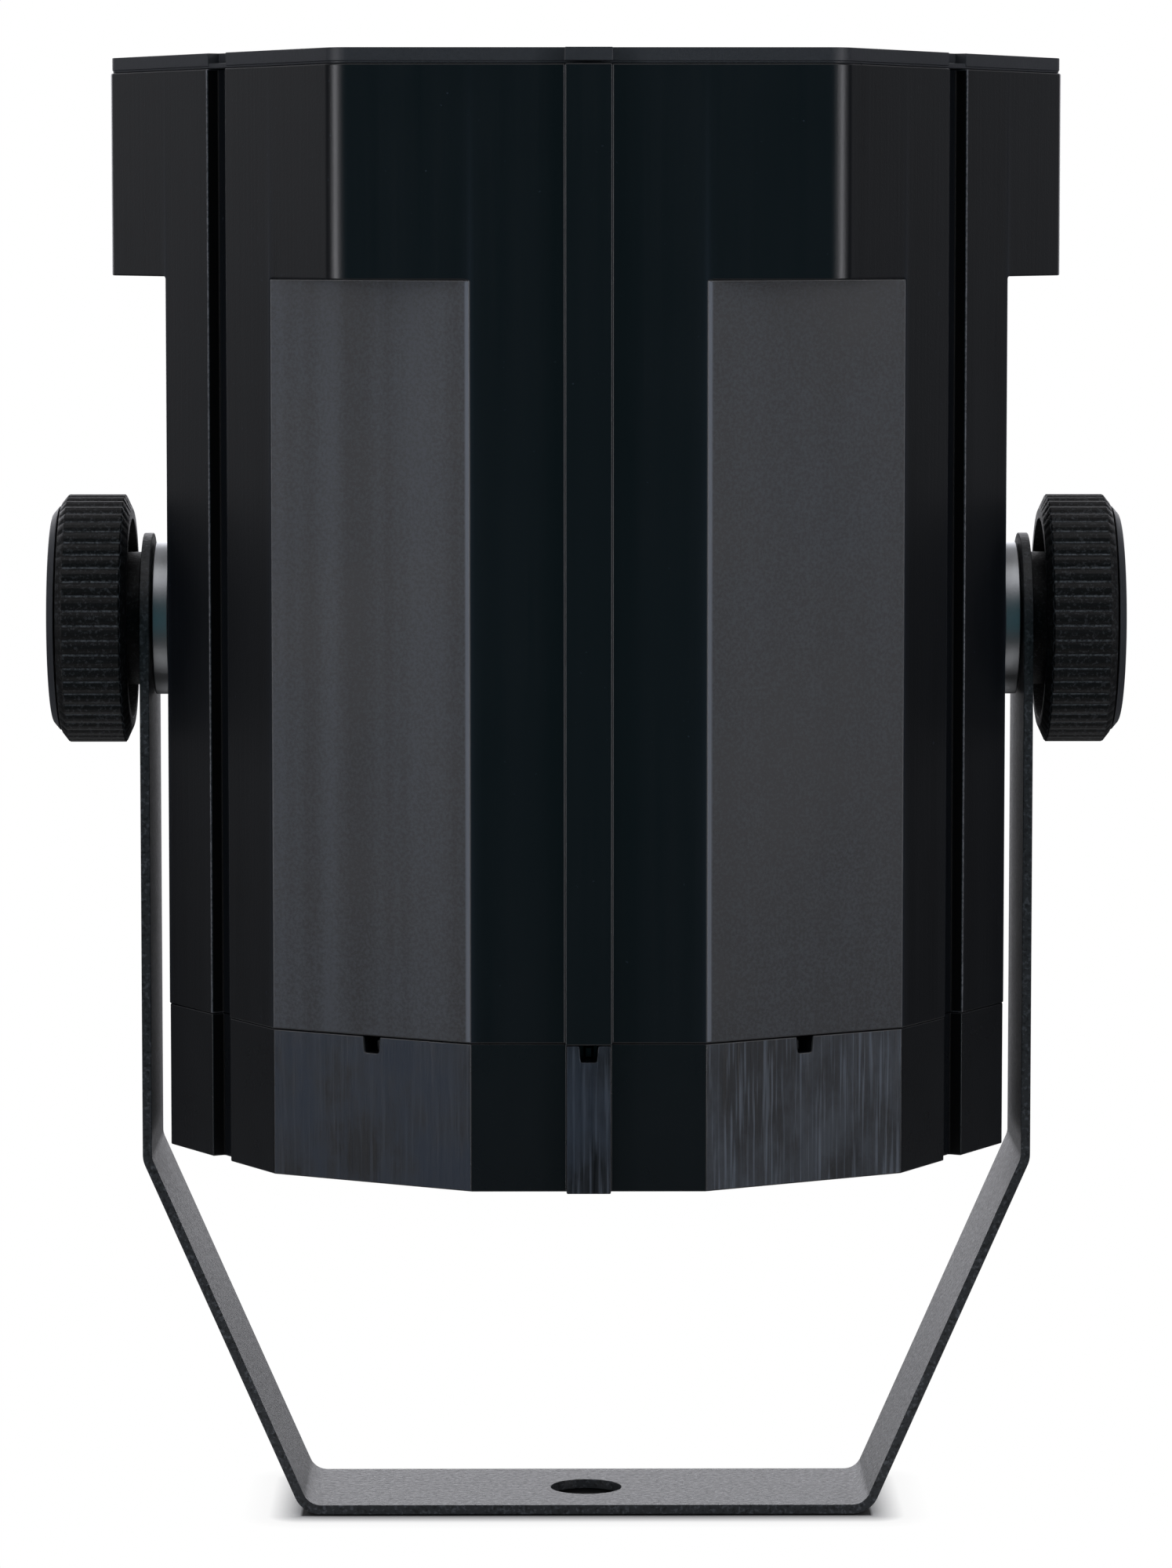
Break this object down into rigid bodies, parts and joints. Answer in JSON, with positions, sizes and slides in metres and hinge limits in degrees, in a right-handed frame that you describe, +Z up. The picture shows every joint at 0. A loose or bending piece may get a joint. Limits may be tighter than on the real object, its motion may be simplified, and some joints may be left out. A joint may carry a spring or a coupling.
{
  "type": "gobo projector",
  "caption": "Compact LED gobo projector: a twelve-sided black housing with a six-sided lens head and a focus ring, tilting in a bent flat-steel yoke with ribbed clamp knobs.",
  "frame": {"origin": "middle of the underside of the yoke's flat base", "axes": "+Z up along the optical axis, out of the lens; +Y to the back, where the gobo holder slides out; +X to the right seen from the front, along the tilt axis"},
  "size_m": [0.171, 0.1372, 0.2327],
  "materials": {
    "housing_plastic": "black moulded plastic with a fine texture",
    "cap_plastic": "black moulded plastic with fine vertical drawing lines",
    "knob_plastic": "black moulded plastic, grained",
    "dark_plastic": "black moulded plastic",
    "powder_coat": "dark grey powder coat with a fine sparkle",
    "panel_paint": "black painted sheet steel",
    "bare_steel": "plain steel",
    "black_screw": "blackened steel",
    "brass": "turned brass",
    "aluminium": "plain aluminium",
    "black_aluminium": "black anodised aluminium",
    "clear_glass": "polished, coated",
    "circuit_board": "green solder mask",
    "yellow_phosphor": "matt phosphor",
    "lead_jacket": "red insulation",
    "button_rubber": "matt silicone rubber"
  },
  "bodies": {
    "yoke": {"yoke_bracket": "powder_coat", "friction_washer_left": "bare_steel", "friction_washer_right": "bare_steel"},
    "housing": {"main_housing": "housing_plastic", "front_bezel": "housing_plastic", "bezel_screw_1": "black_screw", "bezel_screw_2": "black_screw", "bezel_screw_3": "black_screw", "rear_cap": "cap_plastic", "rear_panel": "panel_paint", "panel_screw_1": "black_screw", "panel_screw_2": "black_screw", "panel_screw_3": "black_screw", "panel_screw_4": "black_screw", "pivot_insert_left": "brass", "pivot_insert_right": "brass", "power_inlet": "dark_plastic", "dmx_in_socket": "dark_plastic", "dmx_out_socket": "dark_plastic", "display_window": "clear_glass", "display_module": "circuit_board", "driver_board": "circuit_board", "fan_frame": "dark_plastic", "heat_sink": "aluminium", "chassis_screw_1": "bare_steel", "chassis_screw_2": "bare_steel", "chassis_screw_3": "bare_steel", "led_board": "aluminium", "led_emitter": "yellow_phosphor", "condenser_holder": "black_aluminium", "condenser_lens_lower": "clear_glass", "condenser_spacer": "black_aluminium", "condenser_lens_upper": "clear_glass", "gobo_gate": "black_aluminium", "lens_mount_tube": "black_aluminium", "led_lead": "lead_jacket", "fan_lead": "lead_jacket"},
    "focus": {"focus_ring": "dark_plastic"},
    "objective": {"lens_tube": "black_aluminium", "rear_lens": "clear_glass", "front_lens": "clear_glass", "lens_retainer": "black_aluminium"},
    "gobo_slide": {"gobo_holder": "black_aluminium", "gobo_disc": "bare_steel", "gobo_clip": "bare_steel"},
    "fan": {"fan_rotor": "dark_plastic"},
    "fuse_slide": {"fuse_drawer": "dark_plastic", "fuse": "bare_steel"},
    "button_1": {"menu_button_1": "button_rubber"},
    "button_2": {"menu_button_2": "button_rubber"},
    "button_3": {"menu_button_3": "button_rubber"},
    "button_4": {"menu_button_4": "button_rubber"},
    "knob_left": {"knob_grip_left": "knob_plastic", "knob_cap_left": "knob_plastic", "knob_stud_left": "bare_steel"},
    "knob_right": {"knob_grip_right": "knob_plastic", "knob_cap_right": "knob_plastic", "knob_stud_right": "bare_steel"}
  },
  "joints": [
    {"name": "head_tilt", "type": "hinge", "parent": "yoke", "child": "housing", "pos_m": [0, 0, 0.1433], "axis": [1, 0, 0], "range_deg": [-145, 145]},
    {"name": "knob_left_turn", "type": "hinge", "parent": "housing", "child": "knob_left", "pos_m": [-0.0709, 0, 0.1433], "axis": [-1, 0, 0], "range_deg": [0, 360]},
    {"name": "knob_right_turn", "type": "hinge", "parent": "housing", "child": "knob_right", "pos_m": [0.0709, 0, 0.1433], "axis": [1, 0, 0], "range_deg": [0, 360]},
    {"name": "focus_turn", "type": "hinge", "parent": "housing", "child": "focus", "pos_m": [0, 0, 0.2262], "axis": [0, 0, 1], "range_deg": [0, 90]},
    {"name": "lens_slide", "type": "slide", "parent": "housing", "child": "objective", "axis": [0, 0, 1], "range_m": [0, 0.012]},
    {"name": "gobo_pull", "type": "slide", "parent": "housing", "child": "gobo_slide", "axis": [0, 1, 0], "range_m": [0, 0.078]},
    {"name": "fan_spin", "type": "hinge", "parent": "housing", "child": "fan", "pos_m": [0, 0, 0.0931], "axis": [0, 0, 1], "continuous": true},
    {"name": "fuse_drawer_pull", "type": "slide", "parent": "housing", "child": "fuse_slide", "axis": [0, 0, -1], "range_m": [0, 0.012]},
    {"name": "button_1_press", "type": "slide", "parent": "housing", "child": "button_1", "axis": [0, 0, 1], "range_m": [0, 0.001], "stiffness_N_per_m": 200, "springref_m": -0.002},
    {"name": "button_2_press", "type": "slide", "parent": "housing", "child": "button_2", "axis": [0, 0, 1], "range_m": [0, 0.001], "stiffness_N_per_m": 200, "springref_m": -0.002},
    {"name": "button_3_press", "type": "slide", "parent": "housing", "child": "button_3", "axis": [0, 0, 1], "range_m": [0, 0.001], "stiffness_N_per_m": 200, "springref_m": -0.002},
    {"name": "button_4_press", "type": "slide", "parent": "housing", "child": "button_4", "axis": [0, 0, 1], "range_m": [0, 0.001], "stiffness_N_per_m": 200, "springref_m": -0.002}
  ],
  "couplings": [
    {"joint": "lens_slide", "follows": "focus_turn", "m_per_rad": 0.0076394}
  ]
}
